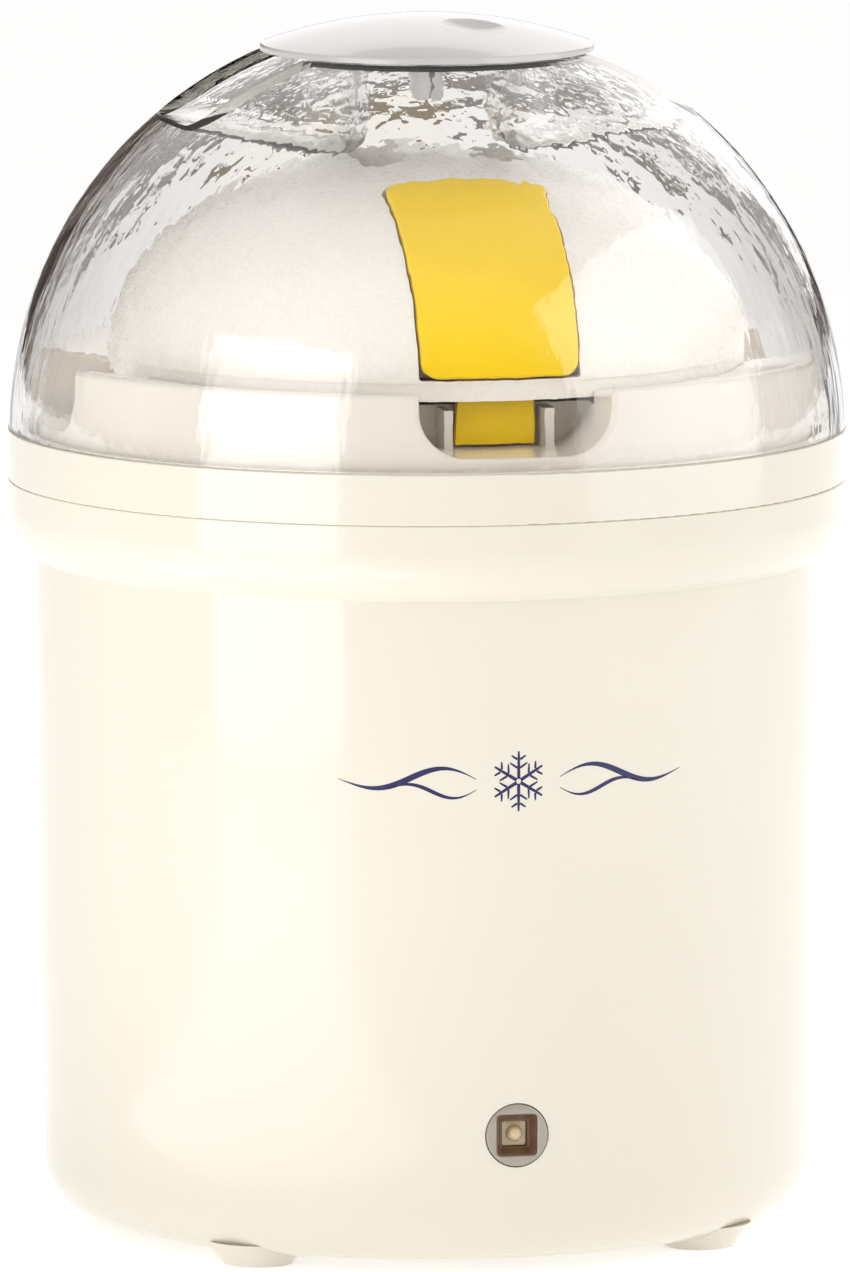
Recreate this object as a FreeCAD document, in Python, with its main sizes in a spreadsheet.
"""Ice cream maker: housing with a freezer bowl, a motor unit that clips on the lid, a clear dome.

Millimetres, +Z up. The origin is on the floor, on the axis of the housing. The front, where the
indicator lamp is, faces -Y. Heights are measured from the floor.
"""
import FreeCAD
import Part
import math
import os
import re
import Sketcher
from FreeCAD import Placement, Rotation, Vector

SIZES = {
    # housing and collar
    "foot_height": 2.5, "wall": 2.5, "body_foot_r": 80.0, "body_neck_r": 82.1, "bottom_round": 12.0,
    "flare_low": 140.8, "flare_bend": 145.5, "flare_r": 87.2, "flare_top": 157.0, "flare_round": 12.0,
    "collar_r": 87.5, "collar_top": 167.5, "collar_bore": 82.2, "ledge_bore": 76.5, "ledge_top": 159.5,
    "gap": 0.3, "seam_round": 0.3,
    "well_r": 76.0, "well_floor": 42.0, "well_wall": 2.0,
    "plate_r": 68.0, "plate_thick": 2.5,
    "foot_circle": 66.5, "foot_top_r": 9.25, "foot_low_r": 7.25,
    # indicator lamp
    "lamp_height": 30.0, "lamp_r": 6.65, "lamp_face": 80.7, "lamp_depth": 8.0, "lamp_square": 8.8,
    "lamp_recess": 3.5,
    # power inlet in the right-hand side
    "inlet_height": 28.5, "inlet_half_wide": 9.0, "inlet_half_tall": 8.0, "inlet_depth": 8.0,
    "inlet_back": 60.0, "inlet_pin_r": 1.2, "inlet_pin_gap": 4.3,
    # freezer bowl
    "bowl_r": 72.5, "bowl_low": 46.0, "bowl_rim_r": 80.5, "bowl_rim_thick": 4.0, "bowl_wall": 1.5,
    "liner_r": 57.5, "liner_floor": 59.5, "pip_r": 4.0, "pip_height": 5.5, "gel_top": 150.0,
    # lid
    "lid_r": 81.3, "lid_top": 183.4, "lid_dish": 2.1, "lid_round": 1.2, "lid_throat": 66.6, "lid_bore": 9.0,
    "plug_r": 56.2, "plug_depth": 5.6, "plug_wall": 4.2, "notch_half": 20.0, "notch_floor": 170.0,
    "notch_round": 9.5, "notch_back": 57.0, "notch_wall": 2.0, "notch_edge": 1.0, "cup_top": 178.5,
    "guide_at": 10.5, "guide_wide": 2.0,
    # paddle
    "hub_r": 7.0, "paddle_half": 56.6, "paddle_thick": 3.2, "paddle_low": 61.5, "paddle_top": 148.0,
    "hub_top": 168.5, "socket_depth": 10.0, "socket_r": 4.5, "run_gap": 0.05,
    # motor unit
    "cover_r": 66.5, "cover_height": 42.7, "cover_wall": 2.2, "skirt_r": 66.2, "skirt_low": 180.0,
    "grip_near": 7.3, "grip_far": 17.5, "grip_half": 17.0, "grip_floor": 216.0, "grip_round": 4.0,
    "grip_floor_round": 3.0,
    "chassis_r": 62.0, "chassis_low": 184.5, "chassis_thick": 2.5, "motor_r": 18.0,
    "motor_low": 188.0, "motor_tall": 21.0, "end_cap_tall": 2.5, "motor_screw_out": 8.8, "screw_r": 1.25,
    "gearbox_r": 52.0, "gearbox_low": 170.0, "gearbox_thick": 2.0, "post_circle": 46.0, "post_r": 3.2,
    # gear train
    "gear_module": 1.25, "pinion_teeth": 12, "idler_teeth": 36, "output_teeth": 44,
    "idler_angle": 45, "motor_angle": 200, "slow_layer": 173.0, "slow_thick": 5.0,
    "fast_layer": 179.0, "fast_thick": 4.0, "shaft_r": 4.0, "axle_r": 2.0, "motor_shaft_r": 1.6,
    # latches
    "pad_half": 16.5, "pad_low": 184.7, "pad_near": 31.5, "pad_proud": 1.0,
    "pad_thick": 2.6, "pad_edge": 0.7,
    "pad_round": 3.5, "window_round": 0.8, "pad_gap": 0.5, "pad_top_gap": 1.4,
    "pivot_out": 44.0, "pivot_height": 203.0,
    "pivot_r": 1.5, "tongue_half": 8.0, "tongue_out": 61.2, "tongue_thick": 1.8, "tongue_low": 170.6,
    "hook_reach": 57.3, "hook_low": 172.0, "hook_tall": 2.5, "lug_half": 7.0,
    # dome and cap
    "dome_r": 87.3, "dome_centre": 166.0, "dome_wall": 2.5, "dome_flat": 246.0, "pocket_near": 16.0,
    "pocket_half": 17.0, "pocket_floor": 226.5, "pocket_lip": 233.0, "pocket_lip_r": 56.0,
    "pocket_round": 14.0, "pocket_floor_round": 4.0,
    "cap_r": 34.8, "cap_edge": 1.2, "cap_rim": 0.5, "cap_crown": 253.6, "cap_thick": 3.0, "dimple_out": 18.5,
    "dimple_angle": -66.5, "dimple_r": 7.0, "dimple_deep": 1.4, "snap_r": 4.4, "snap_low": 235.0,
    # contacts between the housing and the motor unit
    "contact_half": 7.0, "arm_low": 170.5, "arm_thick": 3.0, "arm_out": 84.1, "arm_in": 58.5,
    "contact_circle": 82.7, "contact_pin_r": 0.7, "contact_pin_gap": 4.0, "socket_out_r": 1.2,
    # supply lead
    "lead_r": 0.7, "lead_bend": 6.0,
}

doc = FreeCAD.newDocument("ice_cream_maker")
sheet = doc.addObject("Spreadsheet::Sheet", "Sizes")
for row, (alias, number) in enumerate(SIZES.items(), start=1):
    sheet.set(f"A{row}", alias)
    sheet.set(f"B{row}", str(number))
    sheet.setAlias(f"B{row}", alias)
doc.recompute()

nodes = {}
TO_FRONT = Rotation(Vector(1, 0, 0), 90)
TO_RIGHT = Rotation(Vector(0, 1, 0), 90)
UPRIGHT = Rotation()
SIDES = {"front": -90, "right": 0, "rear": 90, "left": 180}


def formula(text):
    """The expression with every size in it pointed at the sheet."""
    return re.sub(r"[a-z]\w*", lambda word: "Sizes." + word[0] if word[0] in SIZES else word[0], text)


def size(text):
    return float(sheet.evalExpression(formula(text)))


def bind(thing, prop, text):
    thing.setExpression(prop, formula(text))


def node(label, thing):
    """Name a finished sub-part."""
    thing.Label = label
    nodes[label] = thing
    return thing


# ---- primitives and booleans ---------------------------------------------------------------------

def primitive(kind, name, at=("0", "0", "0"), turn=UPRIGHT, **sizes):
    thing = doc.addObject("Part::" + kind, name)
    for prop, text in sizes.items():
        bind(thing, prop, text)
    thing.Placement = Placement(Vector(), turn)
    for axis, text in zip("xyz", at):
        bind(thing, "Placement.Base." + axis, text)
    return thing


def cylinder(name, radius, height, at=("0", "0", "0"), turn=UPRIGHT):
    return primitive("Cylinder", name, at, turn, Radius=radius, Height=height)


def box(name, low, high, turn=UPRIGHT):
    """A box between two corners, each three formulas."""
    spans = [f"({top}) - ({bottom})" for bottom, top in zip(low, high)]
    return primitive("Box", name, low, turn, Length=spans[0], Width=spans[1], Height=spans[2])


def fuse(name, *parts):
    thing = doc.addObject("Part::MultiFuse", name)
    thing.Shapes = list(parts)
    return thing


def common(name, *parts):
    thing = doc.addObject("Part::MultiCommon", name)
    thing.Shapes = list(parts)
    return thing


def cut(name, base, *tools):
    thing = doc.addObject("Part::Cut", name)
    thing.Base = base
    thing.Tool = tools[0] if len(tools) == 1 else fuse(name + "_tools", *tools)
    return thing


def mirrored(name, source, normal):
    """The source mirrored in the plane through the axis with this normal."""
    thing = doc.addObject("Part::Mirroring", name)
    thing.Source = source
    thing.Normal = normal
    return thing


def half_ellipsoid(name, grow):
    """The motor cover's dome, grown by this much all over."""
    return primitive("Ellipsoid", name, ("0", "0", "lid_top + gap"), Radius1=f"cover_height + {grow}",
                     Radius2=f"cover_r + {grow}", Radius3=f"cover_r + {grow}", Angle1="0")


def ring_places(circle, start):
    """Four (x, y) formulas on a circle, from this angle."""
    return [(f"{circle} * cos({start + 90 * turn})", f"{circle} * sin({start + 90 * turn})")
            for turn in range(4)]


# ---- sketched bodies -----------------------------------------------------------------------------

def sketch_on(body, role):
    sketch = body.newObject("Sketcher::SketchObject", body.Name + "_sketch")
    plane = next(feature for feature in body.Origin.OriginFeatures if feature.Role == role)
    sketch.AttachmentSupport = (plane, "")
    sketch.MapMode = "FlatFace"
    return sketch


def draw_outline(sketch, corners):
    """A closed outline whose corners are pairs of formulas."""
    points = [Vector(size(across), size(up), 0) for across, up in corners]
    count = len(points)
    for index, point in enumerate(points):
        sketch.addGeometry(Part.LineSegment(point, points[(index + 1) % count]), False)
    for index in range(count):
        sketch.addConstraint(Sketcher.Constraint("Coincident", index, 2, (index + 1) % count, 1))
    for index, (point, (across, up)) in enumerate(zip(points, corners)):
        sides = (("DistanceX", -2, point.x, across), ("DistanceY", -1, point.y, up))
        for kind, axis, distance, text in sides:
            if abs(distance) < 1e-9:
                sketch.addConstraint(Sketcher.Constraint("PointOnObject", index, 1, axis))
            else:
                number = sketch.addConstraint(Sketcher.Constraint(kind, -1, 1, index, 1, distance))
                sketch.setExpression(f"Constraints[{number}]", formula(text))


def round_edges(body, radius, wanted):
    """Fillet the edges of the body's last feature that the test picks."""
    doc.recompute()
    last = body.Tip
    names = [f"Edge{place}" for place, edge in enumerate(last.Shape.Edges, start=1) if wanted(edge)]
    if not names:
        raise RuntimeError("no edge to round on " + body.Label)
    fillet = body.newObject("PartDesign::Fillet", body.Name + "_round")
    fillet.Base = (last, names)
    bind(fillet, "Radius", radius)
    body.Tip = fillet


def softened_edges(name, base, radius, wanted):
    """The base with the edges that the test picks rounded."""
    doc.recompute()
    thing = doc.addObject("Part::Fillet", name)
    thing.Base = base
    thing.Edges = [(place, size(radius), size(radius))
                   for place, edge in enumerate(base.Shape.Edges, start=1) if wanted(edge)]
    return thing


def circle_at(radius, height):
    """A test for the round edge of this radius at this height."""
    def wanted(edge):
        curve = edge.Curve
        return (isinstance(curve, Part.Circle) and abs(curve.Radius - size(radius)) < 1e-4
                and abs(curve.Center.z - size(height)) < 1e-4)
    return wanted


def along(direction):
    """A test for straight edges in this direction."""
    def wanted(edge):
        return isinstance(edge.Curve, Part.Line) and abs(abs(edge.Curve.Direction.dot(direction)) - 1) < 1e-6
    return wanted


def turned(name, corners):
    """A body turned about the axis from (radius, height) corners."""
    body = doc.addObject("PartDesign::Body", name)
    sketch = sketch_on(body, "XZ_Plane")
    draw_outline(sketch, corners)
    turn = body.newObject("PartDesign::Revolution", name + "_turn")
    turn.Profile = sketch
    turn.ReferenceAxis = (sketch, ["V_Axis"])
    turn.Angle = 360
    return body


def tube(name, outer, inner, low, high):
    return turned(name, [(inner, low), (outer, low), (outer, high), (inner, high)])


def upright_block(name, across, deep, low, high, corner=None, floor=None):
    """A block with upright faces, rounded upright corners and a rounded lower rim."""
    body = doc.addObject("PartDesign::Body", name)
    sketch = sketch_on(body, "XY_Plane")
    bind(sketch, "AttachmentOffset.Base.z", low)
    draw_outline(sketch, [(across[0], deep[0]), (across[1], deep[0]),
                          (across[1], deep[1]), (across[0], deep[1])])
    pad = body.newObject("PartDesign::Pad", name + "_pad")
    pad.Profile = sketch
    bind(pad, "Length", f"({high}) - ({low})")
    if corner:
        round_edges(body, corner, along(Vector(0, 0, 1)))
    if floor:
        bottom = size(low)
        round_edges(body, floor, lambda edge: edge.BoundBox.ZMax < bottom + 1e-4)
    return body


def front_block(name, half, low, high, near, far, corner):
    """A block that runs out to the front, with its four long edges rounded."""
    body = doc.addObject("PartDesign::Body", name)
    sketch = sketch_on(body, "XZ_Plane")
    bind(sketch, "AttachmentOffset.Base.z", near)
    draw_outline(sketch, [(f"-({half})", low), (half, low), (half, high), (f"-({half})", high)])
    pad = body.newObject("PartDesign::Pad", name + "_pad")
    pad.Profile = sketch
    bind(pad, "Length", f"({far}) - ({near})")
    round_edges(body, corner, along(Vector(0, 1, 0)))
    return body


def scoop(name, hand, grow):
    """A finger pocket's space, grown by this much: U-shaped from above, its floor rising outwards."""
    slope = "(pocket_lip - pocket_floor) / (pocket_lip_r - pocket_near)"
    near = f"pocket_near - {grow}"
    body = doc.addObject("PartDesign::Body", name)
    sketch = sketch_on(body, "XZ_Plane")
    bind(sketch, "AttachmentOffset.Base.z", f"-(pocket_half + {grow})")
    draw_outline(sketch, [(f"{hand} * ({near})", f"pocket_floor - {grow}"),
                          (f"{hand} * 110", f"pocket_floor - {grow} + {slope} * (110 - ({near}))"),
                          (f"{hand} * 110", "270"), (f"{hand} * ({near})", "270")])
    pad = body.newObject("PartDesign::Pad", name + "_pad")
    pad.Profile = sketch
    bind(pad, "Length", f"2 * (pocket_half + {grow})")
    inner = size(near) + 0.01
    doc.recompute()
    upright = along(Vector(0, 0, 1))
    round_edges(body, f"pocket_round + {grow}",
                lambda edge: upright(edge) and abs(edge.CenterOfMass.x) < inner)
    round_edges(body, f"pocket_floor_round + {grow}",
                lambda edge: edge.BoundBox.ZMax < 246 and abs(edge.CenterOfMass.x) < 109)
    return body


def pad_space(name, grow, top_gap, corner):
    """The latch pad's outline, grown by this much: rounded below in front view and above in plan."""
    low = front_block(name + "_low", f"pad_half + {grow}", f"pad_low - {grow}", "240", "25", "75", corner)
    top = upright_block(name + "_top", (f"-pad_half - {grow}", f"pad_half + {grow}"),
                        ("-75", f"-(pad_near - {top_gap})"), "150", "250", "pad_round")
    return common(name, low, top)


def shell_with_pockets(name, outer, inner, cups, spaces):
    """A shell with walled pockets let into it."""
    shell = cut(name + "_shell", outer, inner)
    walls = common(name + "_cups", outer, fuse(name + "_cup_blocks", *cups))
    return cut(name, fuse(name + "_solid", shell, walls), *spaces)


# ---- housing -------------------------------------------------------------------------------------

def make_housing():
    outside = [("body_foot_r", "foot_height"), ("body_neck_r", "flare_low"), ("flare_r", "flare_bend"),
               ("collar_r", "flare_top")]
    inside = [("collar_r - wall", "flare_top"), ("flare_r - wall", "flare_bend"),
              ("body_neck_r - wall", "flare_low + wall / 2"), ("body_foot_r - wall", "foot_height + wall")]
    shell = turned("housing_shell", [("plate_r", "foot_height"), *outside, *inside,
                                     ("plate_r", "foot_height + wall")])
    round_edges(shell, "bottom_round", circle_at("body_foot_r", "foot_height"))
    round_edges(shell, "bottom_round - wall", circle_at("body_foot_r - wall", "foot_height + wall"))
    round_edges(shell, "flare_round", circle_at("flare_r", "flare_bend"))
    round_edges(shell, "seam_round", circle_at("collar_r", "flare_top"))
    lamp_hole = cylinder("lamp_hole", "lamp_r + 0.05", "30", ("0", "-60", "lamp_height"), TO_FRONT)
    inlet_hole = box("inlet_hole",
                     ("inlet_back", "-inlet_half_wide - 0.05", "inlet_height - inlet_half_tall - 0.05"),
                     ("100", "inlet_half_wide + 0.05", "inlet_height + inlet_half_tall + 0.05"))
    node("housing", cut("housing_cut", shell, lamp_hole, inlet_hole))

    ring = turned("collar_body", [("ledge_bore", "flare_top"), ("collar_r", "flare_top"),
                                  ("collar_r", "collar_top"), ("collar_bore", "collar_top"),
                                  ("collar_bore", "ledge_top"), ("ledge_bore", "ledge_top")])
    for height in ("flare_top", "collar_top"):
        round_edges(ring, "seam_round", circle_at("collar_r", height))
    block_hole = box("contact_block_hole", ("collar_bore - 0.6", "-contact_half - 0.05", "ledge_top + 1"),
                     ("collar_r - 1.2", "contact_half + 0.05", "collar_top + 1"))
    node("collar_ring", cut("collar_cut", ring, block_hole))

    node("bowl_well", turned("well_body", [
        ("0", "well_floor"), ("well_r", "well_floor"), ("well_r", "flare_top - well_wall"),
        ("collar_r - wall - 0.3", "flare_top - well_wall"), ("collar_r - wall - 0.3", "flare_top"),
        ("well_r - well_wall", "flare_top"), ("well_r - well_wall", "well_floor + well_wall"),
        ("0", "well_floor + well_wall")]))

    disc = cylinder("plate_disc", "plate_r", "plate_thick", ("0", "0", "foot_height"))
    node("base_plate", cut("plate_cut", disc, *[cylinder(f"plate_hole_{turn}", "1.8", "10", (x, y, "0"))
                                                for turn, (x, y) in enumerate(ring_places("50", 0))]))
    node("base_screws", fuse("base_screw_group", *[
        fuse(f"base_screw_{turn}",
             cylinder(f"base_screw_head_{turn}", "3.2", "1.6", (x, y, "foot_height - 1.6")),
             cylinder(f"base_screw_shank_{turn}", "1.7", "10", (x, y, "foot_height - 0.5")))
        for turn, (x, y) in enumerate(ring_places("50", 0))]))

    envelope = turned("foot_trim", [("0", "foot_height"), ("body_foot_r", "foot_height"),
                                    ("body_neck_r", "flare_low"), ("0", "flare_low")])
    round_edges(envelope, "bottom_round", circle_at("body_foot_r", "foot_height"))
    blanks = [primitive("Cone", f"foot_{turn}", (x, y, "0"), Radius1="foot_low_r",
                        Radius2="foot_top_r + 1.5", Height="foot_height + 2.5")
              for turn, (x, y) in enumerate(ring_places("foot_circle", 45))]
    node("feet", cut("feet_cut", fuse("feet_blank", *blanks), envelope))


def make_lamp():
    inner_end = "-(lamp_face - lamp_depth)"
    well = box("lamp_square_hole", ("-lamp_square / 2", "-lamp_face - 1", "lamp_height - lamp_square / 2"),
               ("lamp_square / 2", "-lamp_face + lamp_recess", "lamp_height + lamp_square / 2"))
    barrel = cylinder("lamp_barrel", "lamp_r", "lamp_depth", ("0", inner_end, "lamp_height"), TO_FRONT)
    flange = cylinder("lamp_flange", "lamp_r + 2", "1.5", ("0", inner_end, "lamp_height"), TO_FRONT)
    seat = box("lamp_led_seat", ("-2.6", "-lamp_face + lamp_recess - 1", "lamp_height - 2.6"),
               ("2.6", "-60", "lamp_height + 2.6"))
    node("lamp_lens", cut("lamp_cut", fuse("lamp_solid", barrel, flange), well, seat))

    half = "(lamp_square / 2 - 0.1)"
    frame_out = box("reflector_out", (f"-{half}", "-lamp_face + 1", f"lamp_height - {half}"),
                    (half, "-lamp_face + lamp_recess", f"lamp_height + {half}"))
    frame_in = box("reflector_in", ("-2.8", "-lamp_face", "lamp_height - 2.8"),
                   ("2.8", "-lamp_face + lamp_recess + 1", "lamp_height + 2.8"))
    node("lamp_reflector", cut("reflector_cut", frame_out, frame_in))
    led_face = "lamp_face - lamp_recess + 0.2"
    node("lamp_led", box("led_chip", ("-2.5", f"-({led_face})", "lamp_height - 2.5"),
                         ("2.5", inner_end, "lamp_height + 2.5")))
    node("lamp_board", box("lamp_board_plate", ("-11", inner_end, "lamp_height - 9"),
                           ("11", inner_end + " + 1.6", "lamp_height + 9")))


def make_inlet():
    """A recessed two-pin appliance inlet with a rounded mouth in the right-hand side."""
    face = "body_foot_r - 0.4"
    shell = box("inlet_shell", ("inlet_back", "-inlet_half_wide", "inlet_height - inlet_half_tall"),
                (face, "inlet_half_wide", "inlet_height + inlet_half_tall"))
    cavity = box("inlet_cavity", (face + " - inlet_depth - 8", "-inlet_half_wide + 1.6",
                                  "inlet_height - inlet_half_tall + 1.6"),
                 ("100", "inlet_half_wide - 1.6", "inlet_height + inlet_half_tall - 1.6"))
    holes = [cylinder(f"inlet_pin_hole_{index}", "inlet_pin_r", "40",
                      ("50", f"{side} * inlet_pin_gap", "inlet_height"), TO_RIGHT)
             for index, side in enumerate((-1, 1))]
    node("power_inlet", cut("inlet_cut", shell, cavity, *holes))
    pins = [cylinder(f"inlet_pin_{index}", "inlet_pin_r", "17",
                     ("inlet_back - 4", f"{side} * inlet_pin_gap", "inlet_height"), TO_RIGHT)
            for index, side in enumerate((-1, 1))]
    node("inlet_pins", fuse("inlet_pin_pair", *pins))


def make_power_parts():
    """Supply board, transformer and the lead that climbs beside the bowl well to the contacts."""
    board_low = "foot_height + plate_thick + 4"
    posts = [cylinder(f"board_post_{index}", "3", "4", (x, y, "foot_height + plate_thick"))
             for index, (x, y) in enumerate((("-28", "-18"), ("28", "-18"), ("-28", "24"), ("28", "24")))]
    node("power_board", fuse("board_solid", box("board_plate", ("-34", "-24", board_low),
                                                ("34", "30", board_low + " + 1.6")), *posts))
    node("transformer", fuse("transformer_solid",
                             box("transformer_core", ("-20", "-14", board_low + " + 1.6"),
                                 ("20", "20", board_low + " + 23.6")),
                             box("transformer_coil", ("-13", "-20", board_low + " + 5"),
                                 ("13", "26", board_low + " + 20"))))

    lead_r = size("lead_r")
    climb = size("well_r + lead_r + 0.15")
    bend = size("lead_bend")
    board_top = size(board_low) + 1.6 + lead_r
    top = size("flare_top - well_wall") - 0.2
    corner = Vector(climb, 0, board_top)
    low = Vector(30, 0, board_top)
    middle = corner + Vector(-bend, 0, bend) + Vector(math.sqrt(0.5), 0, -math.sqrt(0.5)) * bend
    path = Part.Wire([
        Part.LineSegment(low, corner - Vector(bend, 0, 0)).toShape(),
        Part.Arc(corner - Vector(bend, 0, 0), middle, corner + Vector(0, 0, bend)).toShape(),
        Part.LineSegment(corner + Vector(0, 0, bend), Vector(climb, 0, top)).toShape()])
    circle = Part.Wire(Part.Circle(low, Vector(1, 0, 0), lead_r).toShape())
    lead = doc.addObject("Part::Feature", "lead_tube")
    lead.Shape = path.makePipeShell([circle], True, True)
    lead.Placement = Placement(Vector(), Rotation(Vector(0, 0, 1), 25))
    node("riser_lead", lead)


def make_contacts():
    """Spring contacts in the collar and the arm of the motor unit that meets them."""
    block = box("contact_body", ("collar_bore - 0.55", "-contact_half", "ledge_top + 1.05"),
                ("collar_r - 1.25", "contact_half", "collar_top - 0.1"))
    holes, pins, sockets, bores = [], [], [], []
    for index, side in enumerate((-1, 1)):
        place = ("contact_circle", f"{side} * contact_pin_gap")
        holes.append(cylinder(f"contact_hole_{index}", "contact_pin_r", "20", (*place, "ledge_top")))
        pins.append(cylinder(f"contact_pin_{index}", "contact_pin_r", "10.3", (*place, "collar_top - 5.3")))
        bores.append(cylinder(f"socket_bore_{index}", "socket_out_r", "20", (*place, "arm_low - 1")))
        outside = cylinder(f"socket_out_{index}", "socket_out_r", "arm_thick", (*place, "arm_low"))
        inside = cylinder(f"socket_in_{index}", "contact_pin_r + 0.25", "20", (*place, "arm_low - 1"))
        sockets.append(cut(f"socket_{index}", outside, inside))
    trim = cylinder("contact_trim", "collar_r - 2.6", "40", ("0", "0", "ledge_top"))
    node("contact_block", cut("contact_block_cut", common("contact_block_round", block, trim), *holes))
    node("contact_pins", fuse("contact_pin_pair", *pins))
    arm = fuse("arm_solid",
               box("arm_bar", ("arm_in", "-contact_half", "arm_low"),
                   ("arm_out + 1", "contact_half", "arm_low + arm_thick")),
               box("arm_riser", ("arm_in", "-contact_half", "arm_low"),
                   ("arm_in + 2.5", "contact_half", "chassis_low")))
    reach = cylinder("arm_trim", "arm_out", "40", ("0", "0", "arm_low - 5"))
    node("contact_arm", cut("arm_cut", common("arm_round", arm, reach), *bores))
    node("contact_sockets", fuse("socket_pair", *sockets))


# ---- freezer bowl --------------------------------------------------------------------------------

def make_bowl():
    rim_low = "ledge_top + gap"
    rim_top = rim_low + " + bowl_rim_thick"
    node("bowl_shell", turned("bowl_shell_body", [
        ("0", "bowl_low"), ("bowl_r", "bowl_low"), ("bowl_r", rim_low), ("bowl_rim_r", rim_low),
        ("bowl_rim_r", rim_top), ("bowl_r - bowl_wall", rim_top),
        ("bowl_r - bowl_wall", "bowl_low + bowl_wall"), ("0", "bowl_low + bowl_wall")]))
    round_edges(nodes["bowl_shell"], "8", circle_at("bowl_r", "bowl_low"))
    liner_out = "liner_r + bowl_wall"
    node("bowl_liner", turned("bowl_liner_body", [
        ("0", "liner_floor - bowl_wall"), (liner_out, "liner_floor - bowl_wall"),
        (liner_out, rim_top + " - bowl_wall"), ("bowl_r - bowl_wall", rim_top + " - bowl_wall"),
        ("bowl_r - bowl_wall", rim_top), ("liner_r", rim_top), ("liner_r", "liner_floor"),
        ("pip_r", "liner_floor"), ("pip_r - 1", "liner_floor + pip_height"),
        ("0", "liner_floor + pip_height")]))
    node("bowl_gel", turned("bowl_gel_body", [
        ("0", "bowl_low + bowl_wall + 0.1"), ("bowl_r - bowl_wall - 7", "bowl_low + bowl_wall + 0.1"),
        ("bowl_r - bowl_wall - 0.1", "bowl_low + bowl_wall + 7"), ("bowl_r - bowl_wall - 0.1", "gel_top"),
        (liner_out + " + 0.1", "gel_top"), (liner_out + " + 0.1", "liner_floor - bowl_wall - 0.1"),
        ("0", "liner_floor - bowl_wall - 0.1")]))


# ---- lid and paddle ------------------------------------------------------------------------------

def notch_rim(edge):
    """A test for the edges between a notch's upright sides and the lid's dished top."""
    middle = edge.CenterOfMass
    beside = min(abs(abs(across) - size("notch_half")) for across in (middle.x, middle.y)) < 1e-4
    return beside and middle.z > size("lid_top - lid_dish")


def make_lid():
    low = "ledge_top + gap + bowl_rim_thick + gap"
    plate_top = low + " + wall"
    solid = turned("lid_body", [
        ("lid_bore", low), ("plug_r - plug_wall", low), ("plug_r - plug_wall", low + " - plug_depth"),
        ("plug_r", low + " - plug_depth"), ("plug_r", low), ("lid_r", low), ("lid_r", "lid_top"),
        ("lid_throat", "lid_top - lid_dish"), ("lid_throat", "cup_top"), ("lid_bore", "cup_top")])
    round_edges(solid, "lid_round", circle_at("lid_r", "lid_top"))
    hollow = tube("lid_hollow", "lid_r - wall", "lid_bore - 1", plate_top, "cup_top")
    cups, notches, windows, guides = [], [], [], []
    cup = front_block("cup_block", "notch_half + notch_wall", "notch_floor - notch_wall", "lid_top + 20",
                      "notch_back - notch_wall", "lid_r + 2", "notch_round + notch_wall")
    notch = front_block("notch_block", "notch_half", "notch_floor", "lid_top + 20", "notch_back",
                        "lid_r + 5", "notch_round")
    for place, angle in SIDES.items():
        turn = Placement(Vector(), Rotation(Vector(0, 0, 1), angle + 90))
        for group, source in ((cups, cup), (notches, notch)):
            copy = doc.addObject("App::Link", f"{source.Name}_{place}")
            copy.LinkedObject = source
            copy.Placement = turn
            group.append(copy)
    for place, side in (("front", -1), ("rear", 1)):
        near, far = sorted((side * size("notch_back - notch_wall - 1"), side * size("notch_back + 1")))
        windows.append(box(f"catch_window_{place}", ("-tongue_half - 1", str(near), "hook_low - 1"),
                           ("tongue_half + 1", str(far), "hook_low + hook_tall + 2")))
        for hand in (-1, 1):
            start, end = sorted((side * size("notch_back - 0.5"), side * size("notch_back + 7")))
            guides.append(box(f"guide_{place}_{hand + 1}",
                              (f"{hand} * guide_at - guide_wide / 2", str(start), "notch_floor - 0.5"),
                              (f"{hand} * guide_at + guide_wide / 2", str(end), "cup_top - 0.5")))
    hollow = cut("lid_hollow_cut", hollow, *cups)
    notched = cut("lid_notched", solid, hollow, *notches, *windows)
    softened = softened_edges("lid_softened", notched, "notch_edge", notch_rim)
    node("lid_ring", fuse("lid_with_guides", softened, *guides))

    node("lid_seal", tube("seal_body", "liner_r - gap", "plug_r", low + " - 4.2", low + " - 2"))
    node("lid_bush", turned("bush_body", [
        ("hub_r + run_gap", low + " - 1"), ("lid_bore + 2", low + " - 1"), ("lid_bore + 2", low),
        ("lid_bore", low), ("lid_bore", plate_top), ("hub_r + run_gap", plate_top)]))
    clip_low = plate_top + " + gap"
    node("paddle_clip", tube("clip_body", "hub_r + 2.4", "hub_r", clip_low, clip_low + " + 0.9"))


def hexagon(name, circle, low, high, turn_angle=0):
    return primitive("Prism", name, ("0", "0", low), Rotation(Vector(0, 0, 1), turn_angle), Polygon="6",
                     Circumradius=circle, Height=f"({high}) - ({low})")


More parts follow.
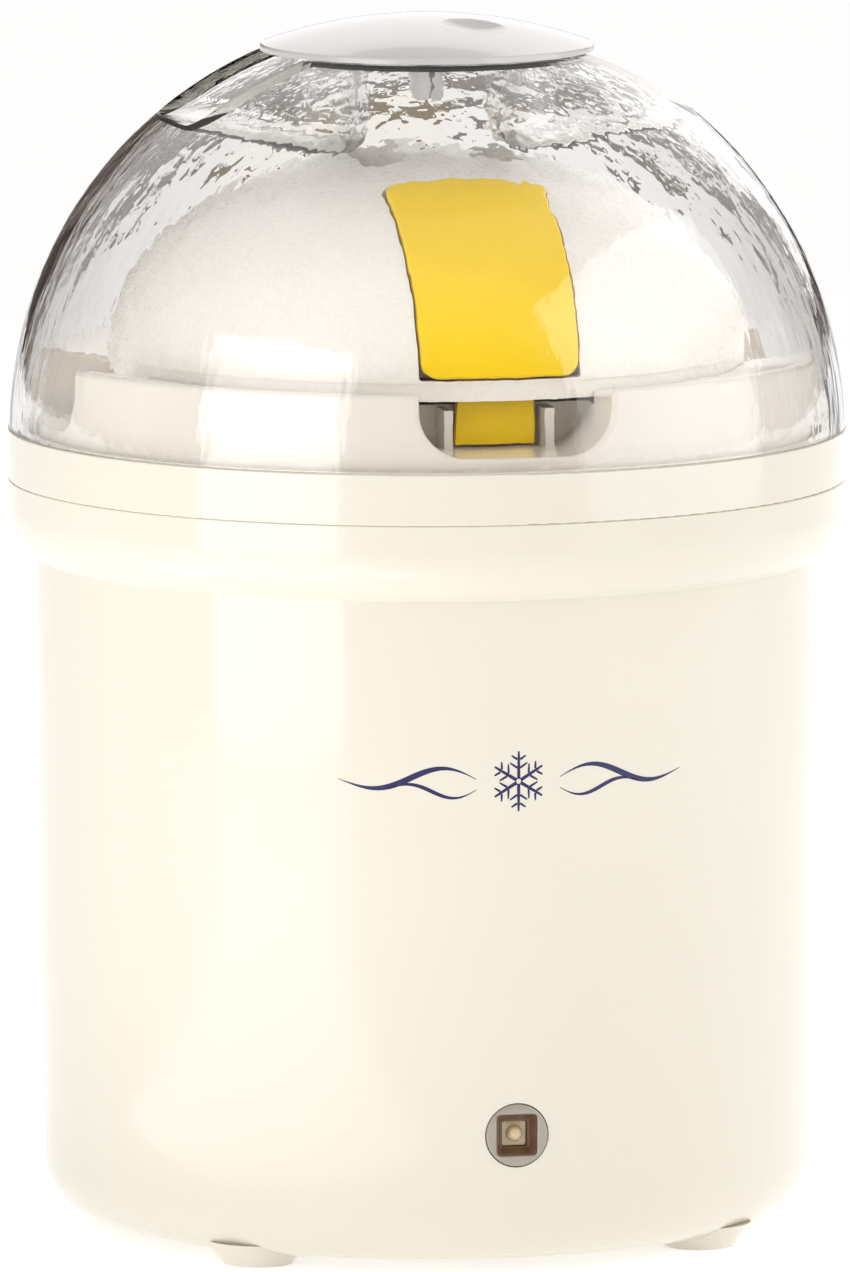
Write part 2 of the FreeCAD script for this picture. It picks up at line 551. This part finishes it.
def make_paddle():
    blade = box("blade_plate", ("-paddle_half", "-paddle_thick / 2", "paddle_low"),
                ("paddle_half", "paddle_thick / 2", "paddle_top"))
    windows = []
    rows = (("paddle_low + 7", "paddle_low + 40"), ("paddle_low + 46", "paddle_top - 7"))
    for hand in (-1, 1):
        near, far = sorted((hand * size("hub_r + 6"), hand * size("paddle_half - 7")))
        for level, (low, high) in enumerate(rows):
            windows.append(box(f"blade_window_{hand + 1}_{level}",
                               (str(near), "-20", low), (str(far), "20", high)))
    hub = cylinder("paddle_hub", "hub_r", "hub_top - paddle_low", ("0", "0", "paddle_low"))
    shoulder = cylinder("paddle_shoulder", "hub_r + 3", "4", ("0", "0", "ledge_top - 1.5"))
    pip_hole = cylinder("pip_hole", "pip_r + 0.4", "pip_height + 2", ("0", "0", "paddle_low - 1"))
    socket = hexagon("paddle_socket", "socket_r", "hub_top - socket_depth", "hub_top + 1")
    node("paddle", cut("paddle_cut", fuse("paddle_solid", cut("blade_cut", blade, *windows), hub, shoulder),
                       pip_hole, socket))


# ---- motor unit ----------------------------------------------------------------------------------

def make_motor_cover():
    skirt = cylinder("cover_skirt", "skirt_r", "lid_top + gap + 0.2 - skirt_low", ("0", "0", "skirt_low"))
    outer = fuse("cover_outer", half_ellipsoid("cover_dome", "0"), skirt)
    hollow = cylinder("cover_hollow", "skirt_r - cover_wall", "lid_top + gap + 0.2 - skirt_low + 1",
                      ("0", "0", "skirt_low - 1"))
    inner = fuse("cover_inner", half_ellipsoid("cover_inside", "-cover_wall"), hollow)
    cups, spaces = [], []
    for name, hand in (("left", -1), ("right", 1)):
        for group, kind, grow in ((cups, "cup", "cover_wall"), (spaces, "space", "0")):
            near, far = sorted((hand * size(f"grip_near - {grow}"), hand * size(f"grip_far + {grow}")))
            deep = (f"-grip_half - {grow}", f"grip_half + {grow}")
            group.append(upright_block(f"grip_{kind}_{name}", (str(near), str(far)), deep,
                                       f"grip_floor - {grow}", "240", f"grip_round + {grow}",
                                       f"grip_floor_round + {grow}"))
    window = pad_space("pad_window", "pad_gap", "pad_top_gap", "window_round")
    spaces += [window, mirrored("pad_window_rear", window, Vector(0, 1, 0))]
    node("motor_cover", shell_with_pockets("cover", outer, inner, cups, spaces))


def gear_centres():
    """Where the idler and the motor stand, so that both gear pairs are in mesh."""
    module = size("gear_module")
    slow = module * size("output_teeth + pinion_teeth") / 2
    fast = module * size("idler_teeth + pinion_teeth") / 2
    to_idler, to_motor = (math.radians(size(name)) for name in ("idler_angle", "motor_angle"))
    idler = Vector(slow * math.cos(to_idler), slow * math.sin(to_idler), 0)
    return idler, idler + Vector(fast * math.cos(to_motor), fast * math.sin(to_motor), 0)


def gear_blank(teeth, first_tooth, low, thick):
    """An involute spur gear about the axis, one tooth centred on the first_tooth angle in degrees."""
    module, pressure, backlash, addendum, dedendum = size("gear_module"), math.radians(20), 0.22, 0.8, 1.2
    pitch_r = module * teeth / 2
    base_r = pitch_r * math.cos(pressure)
    root_r, tip_r = pitch_r - dedendum * module, pitch_r + addendum * module
    half_at_pitch = math.pi / (2 * teeth) - backlash / (2 * pitch_r)

    def half_angle(radius):
        tangent = math.acos(min(1.0, base_r / radius))
        return half_at_pitch + (math.tan(pressure) - pressure) - (math.tan(tangent) - tangent)

    start = max(base_r, root_r)
    steps = [start + (tip_r - start) * step / 3 for step in range(4)]
    flank = ([(root_r, half_angle(start))] if base_r > root_r else []) + [(r, half_angle(r)) for r in steps]
    points = []
    for tooth in range(teeth):
        middle = math.radians(first_tooth) + 2 * math.pi * tooth / teeth
        rising = [(radius, middle - half) for radius, half in flank]
        falling = [(radius, middle + half) for radius, half in reversed(flank)]
        points += [Vector(radius * math.cos(a), radius * math.sin(a), low) for radius, a in rising + falling]
    return Part.Face(Part.makePolygon(points + points[:1])).extrude(Vector(0, 0, thick))


def round_bar(radius, low, high, centre=Vector()):
    return Part.makeCylinder(radius, high - low, Vector(centre.x, centre.y, low))


def gear_node(label, shape, centre):
    gear = doc.addObject("Part::Feature", label + "_solid")
    gear.Shape = shape
    gear.Placement = Placement(centre, Rotation())
    node(label, gear)


def make_gears():
    idler_at, motor_at = gear_centres()
    slow_low, slow_thick = size("slow_layer"), size("slow_thick")
    fast_low, fast_thick = size("fast_layer"), size("fast_thick")
    pinion_teeth, idler_teeth, output_teeth = (int(size(name)) for name in
                                               ("pinion_teeth", "idler_teeth", "output_teeth"))
    half_pitch = 180 / pinion_teeth
    idler_angle, motor_angle = size("idler_angle"), size("motor_angle")

    output = gear_blank(output_teeth, idler_angle, slow_low, slow_thick)
    hub = round_bar(size("shaft_r + 2.5"), slow_low - 0.6, slow_low + slow_thick + 0.6)
    holes = [round_bar(5.0, 0, 300, Vector(18 * math.cos(a), 18 * math.sin(a), 0))
             for a in (math.radians(60 * index) for index in range(6))]
    output = output.fuse(hub).cut(round_bar(size("shaft_r"), 0, 300))
    for hole in holes:
        output = output.cut(hole)
    gear_node("output_gear", output.removeSplitter(), Vector())

    idler = gear_blank(pinion_teeth, idler_angle + 180 + half_pitch, slow_low, slow_thick + 1.2)
    idler = idler.fuse(gear_blank(idler_teeth, motor_angle, fast_low, fast_thick))
    idler = idler.cut(round_bar(size("axle_r + run_gap"), 0, 300))
    gear_node("idler_gear", idler.removeSplitter(), idler_at)

    pinion = gear_blank(pinion_teeth, motor_angle + 180 + half_pitch, fast_low, fast_thick)
    gear_node("motor_pinion", pinion.cut(round_bar(size("motor_shaft_r"), 0, 300)), motor_at)
    return idler_at, motor_at


def make_shafts(idler_at, motor_at):
    deck = "chassis_low + chassis_thick"
    round_part = cylinder("output_round", "shaft_r", deck + " - 0.1 - gearbox_low", ("0", "0", "gearbox_low"))
    hex_part = hexagon("output_hex", "shaft_r", "hub_top - socket_depth + 1", "gearbox_low + 0.5")
    node("output_shaft", fuse("output_shaft_solid", round_part, hex_part))
    x, y = str(idler_at.x), str(idler_at.y)
    node("idler_axle", cylinder("idler_axle_pin", "axle_r", deck + " - gearbox_low", (x, y, "gearbox_low")))
    x, y = str(motor_at.x), str(motor_at.y)
    length = "motor_low + motor_tall - 2 - fast_layer"
    node("motor_shaft", cylinder("motor_shaft_pin", "motor_shaft_r", length, (x, y, "fast_layer")))


def motor_screw_places(motor_at):
    """Where the two screws on opposite sides of the motor shaft pass up through the chassis."""
    return [(f"{motor_at.x} + {side} * motor_screw_out", f"{motor_at.y} + {side} * motor_screw_out")
            for side in (-1, 1)]


def make_motor(motor_at):
    x, y = str(motor_at.x), str(motor_at.y)
    can = fuse("can_solid", cylinder("can_body", "motor_r", "motor_tall", (x, y, "motor_low")),
               cylinder("can_boss", "5", "motor_low - chassis_low - 0.5", (x, y, "chassis_low + 0.5")))
    holes = [cylinder("can_bore", "motor_shaft_r + run_gap", "motor_tall + 10", (x, y, "motor_low - 10"))]
    holes += [cylinder(f"can_screw_hole_{index}", "screw_r + 0.05", "4", (*place, "motor_low - 1"))
              for index, place in enumerate(motor_screw_places(motor_at))]
    node("motor_can", cut("can_cut", can, *holes))
    cap = cylinder("end_cap_disc", "motor_r - 1", "end_cap_tall", (x, y, "motor_low + motor_tall"))
    nub = cylinder("end_cap_nub", "4", "end_cap_tall + 1", (x, y, "motor_low + motor_tall"))
    node("motor_end_cap", fuse("end_cap_solid", cap, nub))
    screws = [fuse(f"motor_screw_{index}",
                   cylinder(f"motor_screw_head_{index}", "2.4", "1.1", (*place, "chassis_low - 1.1")),
                   cylinder(f"motor_screw_shank_{index}", "screw_r", "6", (*place, "chassis_low - 0.5")))
              for index, place in enumerate(motor_screw_places(motor_at))]
    node("motor_screws", fuse("motor_screw_pair", *screws))


def make_chassis(idler_at, motor_at):
    deck = "chassis_low + chassis_thick"
    plate = cylinder("chassis_disc", "chassis_r", "chassis_thick", ("0", "0", "chassis_low"))
    motor_seat = cylinder("motor_seat", "motor_r", "motor_low - chassis_low - chassis_thick",
                          (str(motor_at.x), str(motor_at.y), deck))
    parts = [plate, motor_seat]
    holes = [cylinder("shaft_bearing", "shaft_r + run_gap", "20", ("0", "0", "chassis_low - 10")),
             cylinder("axle_seat", "axle_r", "20", (str(idler_at.x), str(idler_at.y), "chassis_low - 10")),
             cylinder("boss_seat", "5", "20", (str(motor_at.x), str(motor_at.y), "chassis_low - 10"))]
    for turn, (x, y) in enumerate(ring_places("post_circle", 0)):
        post_low = "gearbox_low + gearbox_thick"
        parts.append(cylinder(f"gearbox_post_{turn}", "post_r", f"chassis_low - ({post_low})",
                              (x, y, post_low)))
        holes.append(cylinder(f"post_hole_{turn}", "screw_r + 0.05", "9", (x, y, post_low + " - 1")))
    for place, side in (("front", -1), ("rear", 1)):
        for hand in (-1, 1):
            low_x, high_x = sorted((hand * 14.5, hand * 17.5))
            low_y, high_y = sorted((side * size("pivot_out - 3"), side * size("pivot_out + 3")))
            parts.append(box(f"tower_{place}_{hand + 1}", (str(low_x), str(low_y), "chassis_low + 1"),
                             (str(high_x), str(high_y), "pivot_height + 3")))
        holes.append(cylinder(f"pin_hole_{place}", "pivot_r", "60",
                              ("-30", f"{side} * pivot_out", "pivot_height"), TO_RIGHT))
        low_y, high_y = sorted((side * size("tongue_out - 6.5"), side * 80))
        holes.append(box(f"tongue_gap_{place}", ("-tongue_half - 2", str(low_y), "chassis_low - 1"),
                         ("tongue_half + 2", str(high_y), "chassis_low + 6")))
    holes += [cylinder(f"motor_screw_hole_{index}", "screw_r + 0.05", "10", (*place, "chassis_low - 1"))
              for index, place in enumerate(motor_screw_places(motor_at))]
    node("motor_chassis", cut("chassis_cut", fuse("chassis_solid", *parts), *holes))

    lower = cylinder("gearbox_disc", "gearbox_r", "gearbox_thick", ("0", "0", "gearbox_low"))
    lower_holes = [cylinder("lower_bearing", "shaft_r + 1.5", "20", ("0", "0", "gearbox_low - 10")),
                   cylinder("lower_axle_seat", "axle_r", "20",
                            (str(idler_at.x), str(idler_at.y), "gearbox_low - 10"))]
    lower_holes += [cylinder(f"lower_screw_hole_{turn}", "screw_r + 0.05", "20", (x, y, "gearbox_low - 10"))
                    for turn, (x, y) in enumerate(ring_places("post_circle", 0))]
    node("gearbox_plate", cut("gearbox_cut", lower, *lower_holes))
    node("output_bush", tube("output_bush_body", "shaft_r + 1.5", "shaft_r + run_gap", "gearbox_low",
                             "gearbox_low + gearbox_thick"))
    node("gearbox_screws", fuse("gearbox_screw_group", *[
        fuse(f"gearbox_screw_{turn}",
             cylinder(f"gearbox_screw_head_{turn}", "2.8", "1.5", (x, y, "gearbox_low - 1.5")),
             cylinder(f"gearbox_screw_shank_{turn}", "screw_r", "7.5", (x, y, "gearbox_low - 0.5")))
        for turn, (x, y) in enumerate(ring_places("post_circle", 0))]))


def on_ellipsoid(grow):
    """A test for edges on the motor cover's dome grown by this much."""
    def wanted(edge):
        across, tall = size(f"cover_r + {grow}"), size(f"cover_height + {grow}")
        base = size("lid_top + gap")
        middle = edge.valueAt((edge.FirstParameter + edge.LastParameter) / 2)
        places = [middle] + [vertex.Point for vertex in edge.Vertexes]
        return all(abs((at.x ** 2 + at.y ** 2) / across ** 2 + ((at.z - base) / tall) ** 2 - 1) < 1e-4
                   for at in places)
    return wanted


def make_latches():
    """Two sprung latches, each a curved pad with a tongue that reaches down into the lid's notch."""
    shell = cut("pad_shell", half_ellipsoid("pad_outside", "pad_proud"),
                half_ellipsoid("pad_inside", "(pad_proud - pad_thick)"))
    pad = common("pad_curved", shell, pad_space("pad_block", "0", "0", "pad_round"))
    pad = softened_edges("pad_softened", pad, "pad_edge", on_ellipsoid("pad_proud"))
    lug = common("lug_trimmed", half_ellipsoid("lug_limit", "(pad_proud - 1.2)"),
                 box("lug_block", ("-lug_half", "-pivot_out - 3.5", "pivot_height - 3.5"),
                     ("lug_half", "-pivot_out + 3.5", "cover_height + lid_top")))
    tongue = box("tongue_strip", ("-tongue_half", "-tongue_out", "tongue_low"),
                 ("tongue_half", "-tongue_out + tongue_thick", "pad_low + 15"))
    hook = box("tongue_hook", ("-tongue_half", "-tongue_out + tongue_thick - 0.5", "hook_low"),
               ("tongue_half", "-hook_reach", "hook_low + hook_tall"))
    bore = cylinder("latch_bore", "pivot_r + run_gap", "60", ("-30", "-pivot_out", "pivot_height"), TO_RIGHT)
    front = node("front_latch", cut("latch_cut", fuse("latch_solid", pad, lug, tongue, hook), bore))
    node("rear_latch", mirrored("latch_mirror", front, Vector(0, 1, 0)))

    pins, springs = [], []
    for place, side in (("front", -1), ("rear", 1)):
        pins.append(cylinder(f"latch_pin_{place}", "pivot_r", "36",
                             ("-18", f"{side} * pivot_out", "pivot_height"), TO_RIGHT))
        for index, across in enumerate((-12.6, -10.8, -9.0, 9.0, 10.8, 12.6)):
            springs.append(primitive("Torus", f"spring_turn_{place}_{index}",
                                     (str(across), f"{side} * pivot_out", "pivot_height"), TO_RIGHT,
                                     Radius1="2.4", Radius2="0.6"))
    node("latch_pins", fuse("latch_pin_pair", *pins))
    node("latch_springs", fuse("latch_spring_set", *springs))


# ---- dome and cap --------------------------------------------------------------------------------

def make_dome():
    low = "collar_top + gap"
    parts = []
    for name, radius, top, bottom in (("outer", "dome_r", "dome_flat", low),
                                      ("inner", "dome_r - dome_wall", "dome_flat - dome_wall", low + " - 5")):
        ball = primitive("Sphere", "dome_ball_" + name, ("0", "0", "dome_centre"), Radius=radius)
        slab = cylinder("dome_slab_" + name, "120", f"({top}) - ({bottom})", ("0", "0", bottom))
        parts.append(common("dome_" + name, ball, slab))
    cups, spaces = [], []
    for name, hand in (("left", -1), ("right", 1)):
        cups.append(scoop("pocket_cup_" + name, hand, "dome_wall"))
        spaces.append(scoop("pocket_space_" + name, hand, "0"))
    spaces.append(cylinder("snap_hole", "snap_r + 0.1", "30", ("0", "0", "dome_flat - 15")))
    node("splash_dome", shell_with_pockets("dome", *parts, cups, spaces))


def make_cap():
    """Domed cap with a finger dimple and a split snap pin."""
    rise = size("cap_crown - dome_flat - gap - cap_edge")
    crown_r = (size("cap_r") ** 2 + rise ** 2) / (2 * rise)
    low = "dome_flat + gap"
    centre = ("0", "0", f"cap_crown - {crown_r}")
    crown = common("cap_outside", primitive("Sphere", "cap_ball", centre, Radius=str(crown_r)),
                   cylinder("cap_disc", "cap_r", "20", ("0", "0", low)))
    hollow = common("cap_inside",
                    primitive("Sphere", "cap_hollow_ball", centre, Radius=f"{crown_r} - cap_thick"),
                    cylinder("cap_hollow_disc", "cap_r - 1.6", "20", ("0", "0", low + " - 1")))
    dimple_ball_r = (size("dimple_r") ** 2 + size("dimple_deep") ** 2) / (2 * size("dimple_deep"))
    surface = f"cap_crown - {crown_r} + {math.sqrt(crown_r ** 2 - size('dimple_out') ** 2)}"
    dimple = primitive("Sphere", "dimple_ball",
                       ("dimple_out * cos(dimple_angle)", "dimple_out * sin(dimple_angle)",
                        f"{surface} + {dimple_ball_r} - dimple_deep"), Radius=str(dimple_ball_r))
    rim = size("dome_flat + gap + cap_edge")
    crown = softened_edges("cap_softened", crown, "cap_rim", lambda edge: abs(edge.CenterOfMass.z - rim) < 0.01)
    shell = cut("cap_shell", crown, hollow, dimple)
    neck = cylinder("snap_neck", "snap_r", "cap_crown - 2 - dome_flat + 4", ("0", "0", "dome_flat - 4"))
    barb_top = "dome_flat - dome_wall - gap"
    barb = primitive("Cone", "snap_barb", ("0", "0", "snap_low"), Radius1="snap_r - 1.4",
                     Radius2="snap_r + 0.3", Height=f"{barb_top} - snap_low")
    split = box("snap_split", ("-0.4", "-10", "snap_low - 1"), ("0.4", "10", "dome_flat"))
    pin = cut("snap_pin", fuse("snap_solid", neck, barb), split)
    node("top_cap", fuse("cap_solid", shell, pin))


make_housing()
make_lamp()
make_inlet()
make_power_parts()
make_contacts()
make_bowl()
make_lid()
make_paddle()
make_motor_cover()
idler_place, motor_place = make_gears()
make_shafts(idler_place, motor_place)
make_motor(motor_place)
make_chassis(idler_place, motor_place)
make_latches()
make_dome()
make_cap()
doc.recompute()

for thing in doc.Objects:
    if {"Invalid", "Error"} & set(thing.State):
        raise RuntimeError(f"{thing.Name} failed: {thing.State}")
for label, thing in nodes.items():
    shape = thing.Shape
    if shape.isNull() or not shape.isValid() or not shape.Solids:
        raise RuntimeError(label + " has no valid solid")
    if thing.Label != label:
        raise RuntimeError(label + " is labelled " + thing.Label)

os.makedirs("parts", exist_ok=True)
for label, thing in nodes.items():
    thing.Shape.exportStep(f"parts/{label}.step")
    print(f"{label}: {len(thing.Shape.Solids)} solids, {thing.Shape.Volume / 1000:.2f} cm3")
